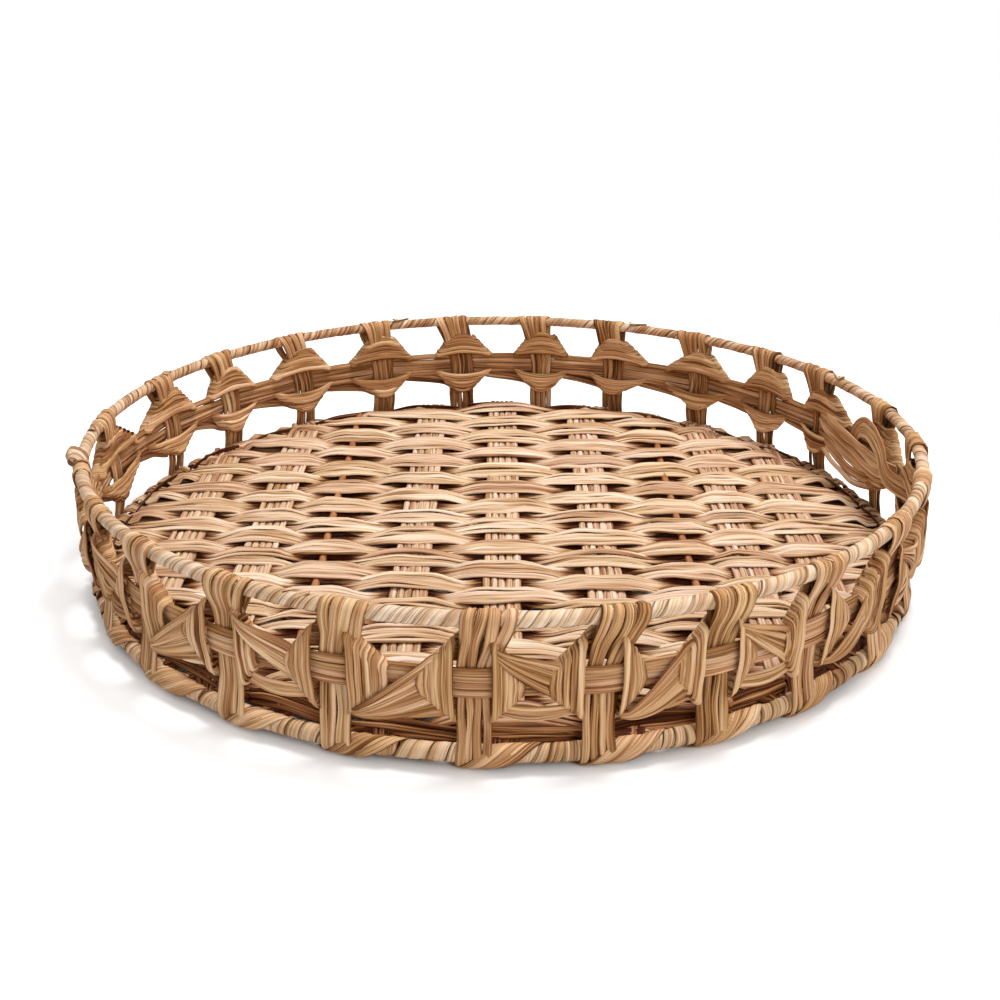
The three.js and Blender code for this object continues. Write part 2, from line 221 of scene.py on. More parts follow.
def wander(rng, places, size, length):
    """Smooth random values of about a size, at places on a path, in waves of about a length."""
    total = np.zeros(len(places))
    for stretch in (1.0, 0.53, 1.9):
        phase = rng.uniform(0, 2 * PI)
        turn = rng.uniform(0.8, 1.25)
        total += np.sin(2 * PI * places / (length * stretch * turn) + phase)
    return size * total / 1.8


def unit(vectors):
    """The vectors at a length of 1."""
    return vectors / np.maximum(np.linalg.norm(vectors, axis=-1, keepdims=True), 1e-9)


def lengths(line):
    """Distance along a line at each of its points."""
    steps = np.linalg.norm(np.diff(line[:, :3], axis=0), axis=1)
    return np.concatenate([[0.0], np.cumsum(steps)])


def directions(line, out, closed=False):
    """Unit vectors at each point of a line: across it, and out, made square to it."""
    if closed:
        ahead = unit(np.roll(line, -1, axis=0) - np.roll(line, 1, axis=0))
    else:
        ahead = unit(np.gradient(line, axis=0))
    out = unit(out - ahead * np.sum(out * ahead, axis=1, keepdims=True))
    return np.cross(out, ahead), out


def curve(stations, spacing, closed=False):
    """A smooth line through stations, at even steps. Columns after the third are carried along."""
    s = np.asarray(stations, float)
    if closed:
        s = np.vstack([s[-1], s, s[0], s[1]])
    at = np.maximum(lengths(s), np.arange(len(s)) * 1e-6)
    slope = np.gradient(s, at, axis=0, edge_order=1)
    first, last = (1, len(s) - 2) if closed else (0, len(s) - 1)
    fine = np.linspace(at[first], at[last], max(8, int((at[last] - at[first]) / spacing * 4)))
    k = np.clip(np.searchsorted(at, fine, side="right") - 1, 0, len(s) - 2)
    gap = (at[k + 1] - at[k])[:, None]
    t = ((fine - at[k])[:, None]) / gap
    h00 = 2 * t**3 - 3 * t**2 + 1
    h10 = t**3 - 2 * t**2 + t
    h01 = 3 * t**2 - 2 * t**3
    h11 = t**3 - t**2
    dense = h00 * s[k] + h10 * gap * slope[k] + h01 * s[k + 1] + h11 * gap * slope[k + 1]
    run = lengths(dense)
    count = max(4, int(round(run[-1] / spacing)) + 1)
    even = np.linspace(0, run[-1], count)
    line = np.stack([np.interp(even, run, column) for column in dense.T], axis=1)
    return line[:-1] if closed else line


# Points of a strip's section, from one edge over the top to the other edge and back below, those
# that ridges lift or lower, and how much painted shade darkens the edges and the underside
SECTION_X = np.array([-1.0, -0.62, -0.22, 0.2, 0.6, 1.0, 0.5, -0.5])
SECTION_Y = np.array([-0.15, 0.78, 1.0, 1.0, 0.78, -0.15, -0.85, -0.85])
RIDGED = (1, 2, 3, 4)
PAINTED_EDGE_SHADE = np.array([1.0, 0.1, 0.0, 0.0, 0.1, 1.0, 0.8, 0.8])


class Strips:
    """The strips of one piece, gathered into one mesh.

    The mesh carries two vectors: fibre has the places across and along a strip and the strip's own
    number, and tone has its brightness, partly random and partly painted shade, its hue, and the
    painted shade of its edges and underside.
    """

    def __init__(self, spread=0.42, painted_wall_shade=False):
        self.points, self.faces, self.fibre, self.tone = [], [], [], []
        self.count = 0
        self.spread = spread
        self.painted_wall_shade = painted_wall_shade

    def store(self, rings, fibre, tone, closed=False):
        """Joins rings of points into a tube with covered ends, or into a closed tube."""
        n, sides = rings.shape[:2]
        i = np.arange(n if closed else n - 1)[:, None]
        k = np.arange(sides)[None, :]
        j = (i + 1) % n
        m = (k + 1) % sides
        quads = np.stack([i * sides + k, i * sides + m, j * sides + m, j * sides + k], axis=2)
        self.faces += (quads.reshape(-1, 4) + self.count).tolist()
        if not closed:
            cover = [self.count + q for q in range(sides)]
            self.faces.append(cover[::-1])
            self.faces.append([(n - 1) * sides + q for q in cover])
        self.points.append(rings.reshape(-1, 3))
        self.fibre.append(fibre.reshape(-1, 3))
        self.tone.append(tone.reshape(-1, 3))
        self.count += n * sides

    def add(self, line, out, width, thick, rng, closed=False, roll=0.0, shade=0.0, warm=0.0,
            twist=0.07):
        """A leaf strip along a line, whose better side faces out. Roll is in degrees."""
        n, sides = len(line), len(SECTION_X)
        across, out = directions(line, out, closed)
        run = lengths(line)
        turn = np.radians(roll) + wander(rng, run, twist, 60) * (0 if closed else 1)
        turned = across * np.cos(turn)[:, None] + out * np.sin(turn)[:, None]
        out = out * np.cos(turn)[:, None] - across * np.sin(turn)[:, None]
        half = np.broadcast_to(np.asarray(width, float), (n,)) / 2
        if not closed:
            half = half * (1 + wander(rng, run, 0.09, 45))
        ridges = np.zeros((n, sides))
        for k in RIDGED:
            ridges[:, k] = rng.uniform(-0.42, 0.36)
            if not closed:
                ridges[:, k] += wander(rng, run, 0.14, 34)
        x = SECTION_X[None, :] * half[:, None]
        y = (SECTION_Y[None, :] + ridges) * thick / 2
        rings = (line[:, None, :] + turned[:, None, :] * x[:, :, None]
                 + out[:, None, :] * y[:, :, None])
        start = rng.uniform(0, 4000)
        own = rng.uniform(0, 400)
        # The underside has fibres of its own
        u = np.where(SECTION_Y > -0.5, SECTION_X, SECTION_X * 0.7 + 2.6)[None, :] * half[:, None]
        # A closed strip's fibres run up to its far side and back, so that they meet
        grain = np.abs(run - run[-1] / 2) if closed else run
        v = np.repeat((grain + start)[:, None], sides, axis=1)
        light = shade + rng.normal(0, self.spread)
        hue = warm + rng.normal(0, 1.2 * self.spread)
        tone = np.empty((n, sides, 3))
        tone[:, :, 0] = light if closed else (light + wander(rng, run, 0.16, 90))[:, None]
        # Painted shade: the floor's strips darken towards the wall, more in the near half
        if self.painted_wall_shade:
            away = np.clip((np.hypot(line[:, 0], line[:, 1]) - WALL_SHADE_FROM) / WALL_SHADE_LENGTH, 0, 1)
            tone[:, :, 0] -= (by_half(line[:, 1], 3.2, 1.3) * away)[:, None]
        tone[:, :, 1] = hue
        # Painted shade on the edges and the underside
        tone[:, :, 2] = PAINTED_EDGE_SHADE[None, :]
        self.store(rings, np.stack([u, v, np.full_like(u, own)], axis=2), tone, closed)

    def bundle(self, line, out, width, strips, thick, rng, overlap=1.22, lift=0.3, roll=7.0,
               shade=0.0, warm=0.0, loose=0.12):
        """Strips side by side along a line. Width is the bundle's, and may change on the way."""
        across, out = directions(line, out)
        run = lengths(line)
        pitch = np.broadcast_to(np.asarray(width, float), (len(line),)) / strips
        for k in range(strips):
            level = rng.uniform(-1, 1) * lift * thick
            side = (k - (strips - 1) / 2) * pitch + wander(rng, run, loose, 50) * pitch
            level = level + wander(rng, run, 0.3 * lift * thick, 40)
            place = line + across * side[:, None] + out * level[:, None]
            tilt = rng.normal(0, roll)
            wide = pitch * overlap * rng.uniform(0.86, 1.12)
            self.add(place, out, wide, thick, rng, roll=tilt, shade=shade, warm=warm)

    def tuck(self):
        """Draws what lies on the base hoop or outside it in, under its wrap or close over it."""
        for points in self.points:
            radius = np.hypot(points[:, 0], points[:, 1])
            outward = radius - BASE_RADIUS
            upward = points[:, 2] - WRAP_MIDDLE
            distance = np.maximum(np.hypot(outward, upward), 1e-6)
            kept = by_half(points[:, 1], 3.4, 9.0)
            allowed = kept + (TUCK_REACH - kept) * np.interp(outward, [TUCK_FROM, -1.0], [1.0, 0.0])
            share = np.minimum(allowed / distance, 1.0)
            share = np.where(outward < TUCK_FROM, 1.0, share)
            points[:, :2] *= ((BASE_RADIUS + outward * share) / radius)[:, None]
            points[:, 2] = WRAP_MIDDLE + upward * share

    def mesh(self, name):
        mesh = bpy.data.meshes.new(name)
        mesh.from_pydata((np.concatenate(self.points) * MM).tolist(), [], self.faces)
        for attribute, values in (("fibre", self.fibre), ("tone", self.tone)):
            layer = mesh.attributes.new(attribute, "FLOAT_VECTOR", "POINT")
            layer.data.foreach_set("vector", np.concatenate(values).astype(np.float32).ravel())
        mesh.polygons.foreach_set("use_smooth", np.ones(len(mesh.polygons), bool))
        mesh.update()
        return mesh


def show(name, strips, material, node):
    """Makes a piece of the strips, which stands for the CAD node."""
    piece = bpy.data.objects.new(name, strips.mesh(name))
    bpy.context.scene.collection.objects.link(piece)
    piece.data.materials.append(material)
    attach(piece, "root")
    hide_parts(node)


def round_axis(angle, radius, height):
    """Points at angles, distances from the basket's axis, and heights."""
    angle, radius, height = np.broadcast_arrays(np.asarray(angle, float), radius, height)
    return np.stack([radius * np.sin(angle), -radius * np.cos(angle), height], axis=-1)


def wall_direction(turn, local):
    """Directions given as along the wall, up and outwards."""
    sideways = round_axis(turn + PI / 2, 1.0, 0.0)
    outward = round_axis(turn, 1.0, 0.0)
    return unit(sideways * local[:, :1] + outward * local[:, 2:3] + UP * local[:, 1:2])


def wall_line(angle, stations, spacing, closed=False):
    """A line on the wall. Stations give along, rise above the band and out, and then where the
    side that shows faces, in the same order."""
    s = curve(stations, spacing, closed)
    height = BAND_MIDDLE + s[:, 1]
    turn = angle + s[:, 0] / BAND_RADIUS
    line = round_axis(turn, wall_radius(height) + s[:, 2], height)
    return line, wall_direction(turn, s[:, 3:6]), s


def hoop_line(radius, height, along, reach, turns, angle):
    """A line round a hoop: places along the hoop, distances from its middle, and turns in degrees
    about it, from outwards (0) over the top (90) to inwards (180)."""
    turn = np.radians(turns)
    place = angle + along / radius
    line = round_axis(place, radius + reach * np.cos(turn), height + reach * np.sin(turn))
    return line, round_axis(place, np.cos(turn), np.sin(turn))


def wind(strips, radius, height, angle, along, turns, reach, width, thick, rng, spacing=1.6,
         **looks):
    """A strip round a hoop, bent to it across its width too. It is made flat, over the hoop's
    unrolled surface, and rolled up."""
    middle = float(np.mean(reach))
    flat = curve(np.stack([along, middle * np.radians(turns), reach - middle], axis=1), spacing)
    if np.ndim(width):
        width = np.interp(np.linspace(0, 1, len(flat)), np.linspace(0, 1, len(width)), width)
    strips.add(flat, np.tile(UP, (len(flat), 1)), width, thick, rng, **looks)
    sideways, arc, rise = strips.points[-1].T
    turn = arc / middle
    away = middle + rise
    strips.points[-1] = round_axis(angle + sideways / radius, radius + away * np.cos(turn),
                                   height + away * np.sin(turn))


def rim_thickness(angle):
    """Radius of the rim with its wrap, which is thicker at the front."""
    return 3.1 + 0.35 * math.cos(angle)


def post_path(rim_reach):
    """Radius, height and width at a post's stations: up inside the wall, over the rim hoop, down
    the wall and round the base hoop."""

    def on_wall(height, out, width):
        return wall_radius(height) + out, height, width

    def about(radius, height, turn, reach, width):
        turn = math.radians(turn)
        return radius + reach * math.cos(turn), height + reach * math.sin(turn), width

    path = [on_wall(47.0, -1.0, 11.8), on_wall(54.0, -1.6, 13.2), (RIM_RADIUS - 3.3, 61.5, 14.6)]
    path += [about(RIM_RADIUS, RIM_HEIGHT, turn, rim_reach, width) for turn, width in POST_HOOK]
    path += [(RIM_RADIUS + 2.8, 60.5, 18.0), on_wall(54.0, 1.15, 16.0), on_wall(47.0, 0.35, 13.6)]
    path += [on_wall(BAND_MIDDLE, 0.0, 12.4), on_wall(30.0, 0.35, 12.8), on_wall(20.0, 1.0, 13.2)]
    path += [(BASE_RADIUS + 3.2, 12.5, 13.4)]
    path += [about(BASE_RADIUS, BASE_HEIGHT, turn, reach, POST_FOOT_WIDTH)
             for turn, reach in POST_FOOT]
    return path


def post_strips(index, rng):
    """A post's bundle, which leans sideways towards the rim."""
    angle = crossing_angle(index)
    lean = rng.uniform(3.4, 7.0)
    wide = rng.uniform(0.94, 1.06)
    stations = [(radius, height, lean * max(0.0, (height - 42.0) / 26.0), width * wide)
                for radius, height, width in post_path(rim_thickness(angle) + 0.15)]
    s = curve(stations, 2.2)
    place = angle + s[:, 2] / BAND_RADIUS
    ahead = unit(np.gradient(s[:, :2], axis=0))
    out = round_axis(place, -ahead[:, 1], ahead[:, 0])
    strips = Strips()
    # Painted shade: the posts get darker towards the back
    shade = rng.normal(0, 0.12) - 0.25 * (1 - math.cos(angle))
    warm = rng.normal(0, 0.25)
    strips.bundle(round_axis(place, s[:, 0], s[:, 1]), out, s[:, 3], 4, 1.1, rng, overlap=1.14,
                  lift=0.2, roll=5, shade=shade, warm=warm)
    return strips


def band_strips(rng):
    """Four strips round the wall, which swell outwards over each post."""
    strips = Strips()
    place = PLACES[0] + np.linspace(0, 2 * PI, 361)[:-1]
    to_posts = (place[:, None] - PLACES[None, :] + PI) % (2 * PI) - PI
    near = np.min(np.abs(to_posts), axis=1)
    swell = 0.5 + 0.5 * np.cos(PI * np.clip(near * BAND_RADIUS / 18, 0, 1))
    for k in range(4):
        rise = (k - 1.5) * 3.1 + 0.25 * np.sin(7 * place + k) + 0.2 * np.sin(17 * place + 2.3 * k)
        out = 0.9 + 1.3 * swell + 0.2 * np.sin(11 * place + 1.7 * k) + rng.uniform(-0.1, 0.1)
        height = BAND_MIDDLE + rise
        line = round_axis(place, wall_radius(height) + out, height)
        strips.add(line, round_axis(place, 1.0, 0.0), 3.4, 2.5, rng, closed=True,
                   roll=rng.normal(0, 7))
    return strips


def fold_corner(side, up, wide, tall, level):
    """A strip's stations round a corner of a knot, from inside the wall to outside the band. The
    last column is the strip's width in shares of its usual one."""
    h = tall * up
    stations = [
        (side * (0.45 * wide), h + 1.0 * up, -2.9 - level, 0, 0.05 * up, -1, 1.0),
        (side * (wide - 3.2), h - 0.1 * up, -2.2 - 0.5 * level, 0.1 * side, 0.1 * up, -1, 1.2),
        (side * (wide - 0.9), h - 0.7 * up, -1.3, 0.5 * side, 0.5 * up, -0.7, 1.55),
        (side * wide, h - 0.4 * up, 1.2, 0.7 * side, 0.7 * up, 0.0, 1.7),
        (side * (wide - 0.3), h - 1.3 * up, 3.5, 0.5 * side, 0.5 * up, 0.7, 1.45),
        (side * (wide - 0.1), h - 3.6 * up, 4.3 + 0.5 * level, 0.1 * side, 0.1 * up, 1, 1.1),
        (side * (wide + 0.1), 0.5 * h, 4.7 + level, 0, 0, 1, 1.0),
    ]
    return stations[: 6 if tall < SHORT_FOLD else 7]


def knot(strips, crossing, rng, shade, warm):
    """A bundle folded round one crossing of a post and the band, as closed strips."""
    right = max(LEAST_REACH, reach_after(crossing) + rng.uniform(-2.4, 1.6))
    left = max(LEAST_REACH, reach_after(crossing - 1) + rng.uniform(-1.6, 2.6))
    tall = LACE_TALL + rng.uniform(-1.6, 0.4)
    deep = LACE_DEEP + rng.uniform(-2.2, 0.4) - (0.0 if is_front(crossing) else 3.4)
    low = LACE_LOW - (0.0 if is_front(crossing) else 1.5)
    for k in range(KNOT_STRIPS):
        share = k / (KNOT_STRIPS - 1)
        level = -0.25 + 0.5 * rng.random()
        reach_right = blend(right, LACE_NEAR, share)
        reach_left = blend(left, LACE_NEAR, share)
        top = blend(LACE_LOW, tall, share)
        bottom = blend(low, deep, share)
        bow = 0.4 - 0.2 * share
        swell = 5.1 + level + 0.4 * share
        stations = [(0.0, top + 1.7, -3.1 - level, 0, 0.1, -1, 1.0)]
        stations += fold_corner(1, 1, reach_right, top, level)
        stations.append((reach_right + bow, 0.0, swell, 0.1, 0, 1, 1.0))
        stations += fold_corner(1, -1, reach_right, bottom, level)[::-1]
        stations.append((0.0, -bottom - 1.7, -3.1 - level, 0, -0.1, -1, 1.0))
        stations += fold_corner(-1, -1, reach_left, bottom, level)
        stations.append((-reach_left - bow, 0.0, swell, -0.1, 0, 1, 1.0))
        stations += fold_corner(-1, 1, reach_left, top, level)[::-1]
        line, out, s = wall_line(crossing_angle(crossing), stations, 1.15, closed=True)
        flat_pitch = (tall - LACE_LOW) / (KNOT_STRIPS - 1)
        upright_pitch = max((0.5 * (right + left) - LACE_NEAR) / (KNOT_STRIPS - 1), 2.0)
        upright = np.clip(np.abs(s[:, 0]) / 8.0, 0, 1)
        pitch = flat_pitch * (1 - upright) + upright_pitch * upright
        strips.add(line, out, pitch * 1.3 * s[:, 6], LACE_THICK, rng, closed=True,
                   roll=rng.normal(0, 4), shade=shade, warm=warm)


def fan(strips, crossing, rng, shade, warm):
    """Strips that cross the gap to the next post. In front they come together at a corner of the
    near knot, pass over it, and spread under the far one. Behind they show below the band."""
    gap = gap_after(crossing)
    if is_front(crossing):
        count, starts, ends, wide = FRONT_FANS[crossing % 2]
        begin, finish, bend, near = 9.6, gap - 12.5, 1.08, (1.2, 1.9)
    else:
        count, starts, ends, wide = BACK_FAN
        begin, finish, bend, near = 6.0, gap - 9.0, 0.6, (0.8 * wide, 0.9 * wide)
    for k in range(count):
        share = k / (count - 1)
        start_along = begin - 0.8 * abs(share - 0.5) + rng.uniform(-0.2, 0.2)
        end_along = finish + rng.uniform(-0.6, 0.6)
        start_rise = blend(*starts, share)
        end_rise = blend(*ends, share)
        bow = (0.5 - share) * 1.6
        stations = [(start_along - 1.6, start_rise * 1.02, 3.2, -0.5, 0, 0.4)]
        for part, out in FAN_WAY:
            rise = blend(start_rise, end_rise, part**bend) + bow * math.sin(PI * part)
            along = blend(start_along, end_along, part)
            stations.append((along, rise, out - 0.25 * (k % 2), 0, 0, 1))
        stations.append((end_along + 3.5, end_rise, 2.6, 0, 0, 1))
        line, out, _ = wall_line(crossing_angle(crossing), stations, 2.0)
        run = lengths(line)
        width = np.interp(run / run[-1], [0, 0.1, 0.5, 1], [*near, 0.8 * wide, wide])
        width = width * rng.uniform(0.9, 1.1)
        strips.add(line, out, width, LACE_THICK, rng, roll=rng.normal(0, 5), shade=shade, warm=warm)


def low_bundle(strips, crossing, rng, shade, warm):
    """A bundle across the lower part of a gap, outside, with its ends under the knots' corners."""
    lean = rng.uniform(-1.4, 1.4)
    start, end = 9.6, gap_after(crossing) - 9.8
    stations = []
    for share, out in LOW_WAY:
        bow = math.sin(PI * share)
        rise = -12.4 + lean * (share - 0.5) - 0.5 * bow
        stations.append((blend(start, end, share), rise, out, 0, 0, 1, 5.2 + 1.2 * bow))
    line, out, s = wall_line(crossing_angle(crossing), stations, 2.6)
    strips.bundle(line, out, s[:, 6], 3, 1.0, rng, lift=0.4, shade=shade + 0.3, warm=warm)


def ground_bundle(strips, crossing, rng, shade, warm):
    """A loose bundle that arches above the base hoop, inside the wall, painted darker as shade."""
    arch = rng.uniform(0.5, 4.0) if is_front(crossing) else rng.uniform(0.2, 1.5)
    start, end = 3.0, gap_after(crossing) - 3.0
    lean = rng.uniform(-1.5, 1.5)
    stations = []
    for share, out in GROUND_WAY:
        bow = math.sin(PI * share)
        rise = 11.8 - BAND_MIDDLE + arch * bow + lean * (share - 0.5)
        stations.append((blend(start, end, share), rise, out, 0, 0.3, 1, 6.0 + 1.4 * bow))
    line, out, s = wall_line(crossing_angle(crossing), stations, 2.8)
    # Painted shade: darker and warmer than the rest of the lacing
    strips.bundle(line, out, s[:, 6], 3, 1.0, rng, lift=0.5, roll=9, shade=shade - 2.4,
                  warm=warm + 0.3)


def loose_bundles(strips, rng, shade, warm):
    """The bundles on the right that lie loose inside the wall."""
    gap = gap_after(LOOSE_CROSSING)
    for width, places in LOOSE:
        stations = [(gap * part, rise, out, 0, 0, -1) for part, rise, out in places]
        line, out, _ = wall_line(crossing_angle(LOOSE_CROSSING), stations, 2.0)
        run = lengths(line)
        wide = width * np.interp(run / run[-1], [0, 0.25, 0.75, 1], [0.8, 1, 1, 0.8])
        strips.bundle(line, out, wide, 4, 1.2, rng, lift=0.4, roll=8, shade=shade + 0.5, warm=warm)


def foot_wrap(strips, crossing, rng, shade, warm):
    """Strips that come over the base hoop right of a post's foot and go down under it."""
    count, spread = 4, rng.uniform(0.85, 1.25)
    if crossing == WIDE_FOOT:
        count, spread = 5, 1.5
    for k in range(count):
        along = FOOT_ALONG + k * 3.3 * spread * FOOT_LAG
        width = 4.5 * spread * rng.uniform(0.9, 1.1)
        wind(strips, BASE_RADIUS, BASE_HEIGHT, crossing_angle(crossing), along, FOOT_TURNS,
             FOOT_REACH + 0.15 * (k % 2), width, 0.8, rng, roll=rng.normal(3, 3),
             shade=shade + 0.15, warm=warm)


def lacing_strips(pair, rng):
    """All that is laced round two neighbouring crossings and across the gaps after them."""
    strips = Strips()
    for crossing in (2 * pair, 2 * pair + 1):
        shade = rng.normal(-0.1, 0.12)
        warm = rng.normal(0, 0.25)
        if is_front(crossing):
            low_bundle(strips, crossing, rng, shade, warm)
        ground_bundle(strips, crossing, rng, shade, warm)
        knot(strips, crossing, rng, shade, warm)
        fan(strips, crossing, rng, shade, warm)
        foot_wrap(strips, crossing, rng, shade, warm)
        if crossing == LOOSE_CROSSING:
            loose_bundles(strips, rng, shade, warm)
    return strips


def rim_leaf_end(strips, degrees, along, reach, turns, widths, thick, rng, **looks):
    """A short strip on the rim that isn't bent to the hoop across its width."""
    line, out = hoop_line(RIM_RADIUS, RIM_HEIGHT, along, reach, turns, math.radians(degrees))
    s = curve(np.hstack([line, out]), 1.2)
    strips.add(s[:, :3], s[:, 3:], np.linspace(*widths, len(s)), thick, rng, **looks)


def rim_wrap_strips(rng):
    """The rim's wrap, turn by turn, paler in front and darker behind, as painted shade."""
    strips = Strips(spread=0.2)
    spacing = 2 * PI * RIM_RADIUS / RIM_TURNS
    for k in range(RIM_TURNS):
        angle = k * spacing / RIM_RADIUS
        start = rng.uniform(-150, -110)
        turns = np.linspace(start, start + rng.uniform(385, 425), 8)
        along = rng.uniform(-0.12, 0.12) * spacing + 12.5 * (turns - start) / 360
        share = (turns - turns[0]) / (turns[-1] - turns[0])
        reach = rim_thickness(angle) - 0.5 + 0.25 * share + 0.05 * rng.standard_normal()
        width = spacing * 1.4 * rng.uniform(0.85, 1.1)
        width = width * np.interp(share, [0, 0.1, 0.9, 1], [0.7, 1, 1, 0.7])
        # Painted shade: the turns get darker towards the back
        wind(strips, RIM_RADIUS, RIM_HEIGHT, angle, along, turns, reach, width, 0.4, rng,
             spacing=0.8, roll=rng.normal(3.2, 0.7), twist=0.01,
             shade=0.2 - 0.6 * (1 - math.cos(angle)))
    for degrees, lean in RIM_LEAVES:
        turns = np.array([20.0, 50, 80, 100, 112])
        along = lean * np.array([-6.0, -4, -1.5, 0.8, 2.6])
        reach = np.array([2.3, 2.5, 2.8, 3.3, 4.0])
        rim_leaf_end(strips, degrees, along, reach, turns, (6.0, 3.4), 0.7, rng, roll=8, shade=-0.8)
    # One turn on the left stands off the hoop
    turns = np.array([-60.0, -20, 15, 45, 75, 105, 130])
    along = np.array([-5.0, -4, -3, -1.5, 0.5, 2.5, 4.5])
    reach = np.array([3.0, 4.6, 7.2, 7.6, 5.6, 3.8, 3.1])
    for k in range(3):
        rim_leaf_end(strips, LIFTED_TURN, along + 3.2 * k, reach - 0.5 * k, turns, (4.4, 4.4), 0.6,
                     rng, roll=rng.normal(3, 2))
    return strips


def base_wrap_strips(rng):
    """The base hoop's wrap, turn by turn, less even than the rim's."""
    strips = Strips(spread=0.25)
    spacing = 2 * PI * BASE_RADIUS / BASE_TURNS
    for k in range(BASE_TURNS):
        start = rng.uniform(-150, -100)
        turns = np.linspace(start, start + rng.uniform(370, 410), 8)
        slope = rng.normal(6.0, 2.5)
        along = rng.uniform(-0.2, 0.2) * spacing + slope * (turns - start) / 360
        lump = rng.uniform(0.0, 0.3)
        share = (turns - turns[0]) / (turns[-1] - turns[0])
        reach = 3.35 + 0.2 * share + lump * np.sin(PI * share)
        width = spacing * rng.uniform(1.3, 1.6)
        wind(strips, BASE_RADIUS, WRAP_MIDDLE, k * spacing / BASE_RADIUS, along, turns, reach,
             width, 0.5, rng, spacing=1.0, roll=rng.normal(3.2, 0.8), shade=0.05, warm=-0.2,
             twist=0.02)
    return strips


def hoop_end(point, direction, rng):
    """Stations that carry a floor bundle onto the base hoop, from where its middle line meets it.
    Direction is the bundle's way in plan. In the far half it rides over the hoop's wrap."""
    place = math.atan2(point[0], -point[1])
    slide = float(np.dot(direction, [math.cos(place), math.sin(place)]))
    step = slide * rng.uniform(1.2, 2.6)
    lump = rng.uniform(0.0, 0.6)
    over = by_half(point[1], 0.0, 1.0)
    stations = []
    for k, (turn, low, high) in enumerate(HOOP_ENDS):
        reach = blend(low, high, over)
        # Lumps lift what lies on top of the hoop
        if turn > 60:
            reach += lump * (1.8 * over if turn < 110 else 1 + over)
        line, out = hoop_line(BASE_RADIUS, WRAP_MIDDLE, np.array([step * (k + 0.5)]), reach,
                              np.array([turn]), place)
        width = (12.5 - 3.5 * over) * (1 - 0.18 * min(k, 3) * slide**2)
        stations.append((*line[0], *out[0], width))
    return stations


def lower_layer(strips, side, depth, inside, rng):
    """The lower strips of a row's end, which show dark between the upper strips of two rows. They
    are painted a darker, warmer brown as shade.
    """
    s = curve([(side * (inside - before), depth, height, 0, 0, 1, width)
               for before, height, width in LOWER_LAYER], 4.0)
    # Painted shade: shade and warmth lowered below the row's own
    strips.bundle(s[:, :3], s[:, 3:6], s[:, 6], 4, 1.2, rng, lift=0.2, roll=4, shade=-0.7, warm=0.8)


def weft_row(strips, row, rng):
    """A row of the floor, over one warp or stick and under the next. It is wide above and below
    them and narrow between them, and darker below them, as painted shade."""
    depth = (row - (ROWS - 1) / 2) * ROW_PITCH
    far = float(by_half(depth, 0.0, 1.0))
    edge = math.sqrt(MEETING_RADIUS**2 - depth**2)
    inside = edge - FLAT_UP_TO
    left = hoop_end((-edge, depth), np.array([-1.0, 0.0]), rng)
    right = hoop_end((edge, depth), np.array([1.0, 0.0]), rng)
    stations = [(*station, 0.0) for station in left[::-1]]
    end_level = -0.55 + 1.05 * far
    crossings = [(place, (-1) ** (row + k)) for k, place in enumerate(CROSSED)
                 if abs(place) < inside - 3]
    crossings = np.array([(-inside, end_level), *crossings, (inside, end_level)])
    wave = np.arange(-inside, inside + 0.1, 6.0)
    for x, sway in zip(wave, wander(rng, wave, 0.9, 120)):
        k = int(np.clip(np.searchsorted(crossings[:, 0], x) - 1, 0, len(crossings) - 2))
        (before, level_before), (after, level_after) = crossings[k : k + 2]
        t = (x - before) / max(after - before, 1e-6)
        # The level changes over the middle two thirds of the way
        t = min(max(1.5 * (t - 0.5) + 0.5, 0), 1)
        level = blend(level_before, level_after, 0.5 - 0.5 * math.cos(PI * t))
        wider = WIDER_ABOVE * level**1.5 if level > 0 else WIDER_BELOW * (-level) ** 1.3
        near_end = min(1.0, (inside - abs(x)) / END_LENGTH)
        width = (ROW_WIDTH + wider) * near_end + (END_WIDTH - FAR_NARROWER * far) * (1 - near_end)
        # The ends of two neighbouring rows are drawn together
        drawn = (1.6 + 1.0 * far) * (1 if row % 2 else -1) * (1 - near_end)
        # How far the row dips below the middle: there it tilts, and its last column is painted
        # shade
        below = max(0.0, -0.5 - level) / 0.5
        tilt = math.radians(12 * below)
        stations.append((x, depth + sway * near_end + drawn, FLOOR_MIDDLE + WEFT_SWING * level,
                         0, -math.sin(tilt), math.cos(tilt), width, -4.8 * below**0.7))
    stations += [(*station, 0.0) for station in right]
    s = curve(stations, 3.4)
    shade = rng.normal(0.25, 0.14)
    warm = rng.normal(0.1, 0.22)
    strips.bundle(s[:, :3], s[:, 3:6], s[:, 6], 4, 1.3, rng, overlap=1.24, lift=0.4,
                  shade=shade + s[:, 7], warm=warm, loose=0.2)
    if far > 0:
        lower_rng = random_for("lower", row)
        lower_layer(strips, -1, depth, inside, lower_rng)
        lower_layer(strips, 1, depth, inside, lower_rng)


def warp_strips(place, rng):
    """A warp from front to back, a little lower where a weft passes over it."""
    # Its ends get painted shade near the wall
    strips = Strips(painted_wall_shade=True)
    edge = math.sqrt(MEETING_RADIUS**2 - place**2)
    inside = edge - FLAT_UP_TO
    front = hoop_end((place, -edge), np.array([0.0, -1.0]), rng)
    back = hoop_end((place, edge), np.array([0.0, 1.0]), rng)
    stations = [(*station[:6], 14.0) for station in front[::-1]]
    for y in np.arange(-inside, inside + 0.1, ROW_PITCH / 2):
        row = y / ROW_PITCH + (ROWS - 1) / 2
        level = -0.45 * math.cos(PI * (row + CROSSED.index(place)))
        stations.append((place, y, FLOOR_MIDDLE + 0.4 + level, 0, 0, 1, 17.2))
    stations += [(*station[:6], 14.0) for station in back]
    s = curve(stations, 4.6)
    strips.bundle(s[:, :3], s[:, 3:6], s[:, 6], 5, 1.8, rng, overlap=1.16, lift=0.2, roll=6,
                  shade=0.2, warm=0.5, loose=0.05)
    strips.tuck()
    return strips


